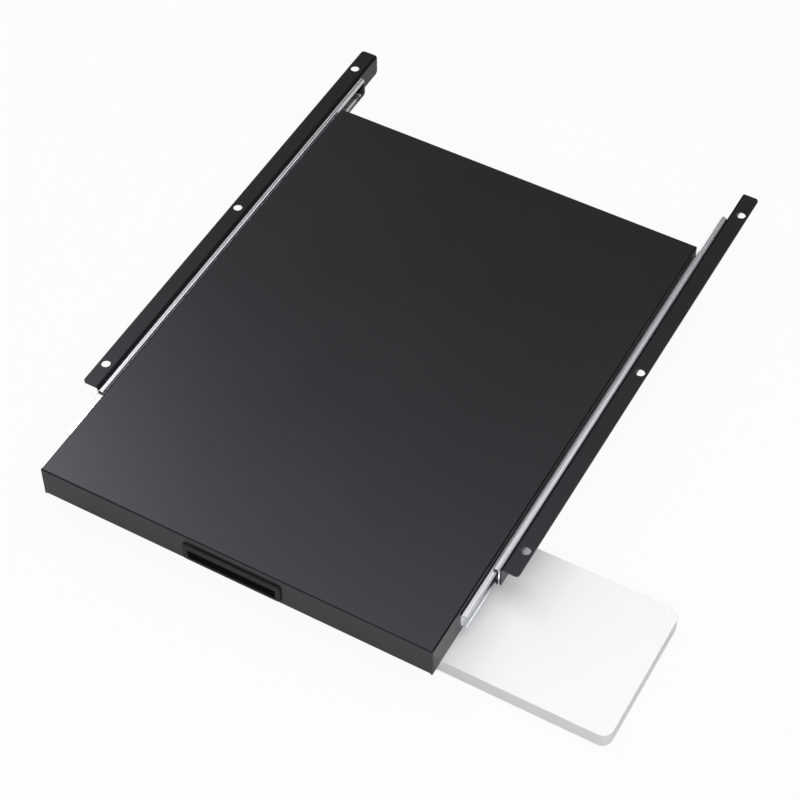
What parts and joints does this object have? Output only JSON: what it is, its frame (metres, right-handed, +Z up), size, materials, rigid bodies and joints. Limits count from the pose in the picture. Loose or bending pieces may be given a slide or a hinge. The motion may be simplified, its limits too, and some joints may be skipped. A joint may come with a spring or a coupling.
{
  "type": "sliding rack shelf",
  "caption": "Flat steel tray on ball-bearing side slides between flanged rack brackets, with a recessed front pull and a white mouse table that slides out to the right underneath.",
  "frame": {"origin": "centre of the four corner rack holes, on the plane where the flanges sit on the rack", "axes": "+X to the right seen from the front, +Y to the back, +Z up; the tray slides out along -Y"},
  "size_m": [0.6218, 0.6675, 0.0571],
  "materials": {
    "black_coat": "black satin powder coat with a fine grain",
    "zinc_plate": "bright zinc plate",
    "bright_steel": "polished",
    "black_plastic": "moulded, low sheen",
    "white_board": "white laminate, satin"
  },
  "bodies": {
    "brackets": {"left_bracket": "black_coat", "right_bracket": "black_coat", "left_outer_rail": "zinc_plate", "right_outer_rail": "zinc_plate", "left_front_stop": "black_plastic", "right_front_stop": "black_plastic", "left_rear_bumper": "black_plastic", "right_rear_bumper": "black_plastic", "left_bracket_screws": "zinc_plate", "right_bracket_screws": "zinc_plate"},
    "tray": {"shelf_tray": "black_coat", "pull_cup": "black_plastic", "front_stiffener": "black_coat", "rear_stiffener": "black_coat", "front_table_guide": "black_coat", "rear_table_guide": "black_coat", "table_guide_screws": "zinc_plate", "table_guide_nuts": "zinc_plate", "left_inner_rail": "zinc_plate", "right_inner_rail": "zinc_plate", "left_tray_screws": "zinc_plate", "right_tray_screws": "zinc_plate", "left_tray_nuts": "zinc_plate", "right_tray_nuts": "zinc_plate"},
    "left_cage": {"left_ball_cage": "zinc_plate", "left_balls": "bright_steel"},
    "right_cage": {"right_ball_cage": "zinc_plate", "right_balls": "bright_steel"},
    "mouse_table": {"mouse_table": "white_board", "table_stop_screws": "zinc_plate"}
  },
  "joints": [
    {"name": "tray_slide", "type": "slide", "parent": "brackets", "child": "tray", "axis": [0, -1, 0], "range_m": [-0.058, 0.327]},
    {"name": "left_cage_slide", "type": "slide", "parent": "brackets", "child": "left_cage", "axis": [0, -1, 0], "range_m": [-0.029, 0.1635]},
    {"name": "right_cage_slide", "type": "slide", "parent": "brackets", "child": "right_cage", "axis": [0, -1, 0], "range_m": [-0.029, 0.1635]},
    {"name": "mouse_table_slide", "type": "slide", "parent": "tray", "child": "mouse_table", "axis": [1, 0, 0], "range_m": [-0.162, 0]}
  ],
  "couplings": [
    {"joint": "left_cage_slide", "follows": "tray_slide", "ratio": 0.5},
    {"joint": "right_cage_slide", "follows": "tray_slide", "ratio": 0.5}
  ]
}
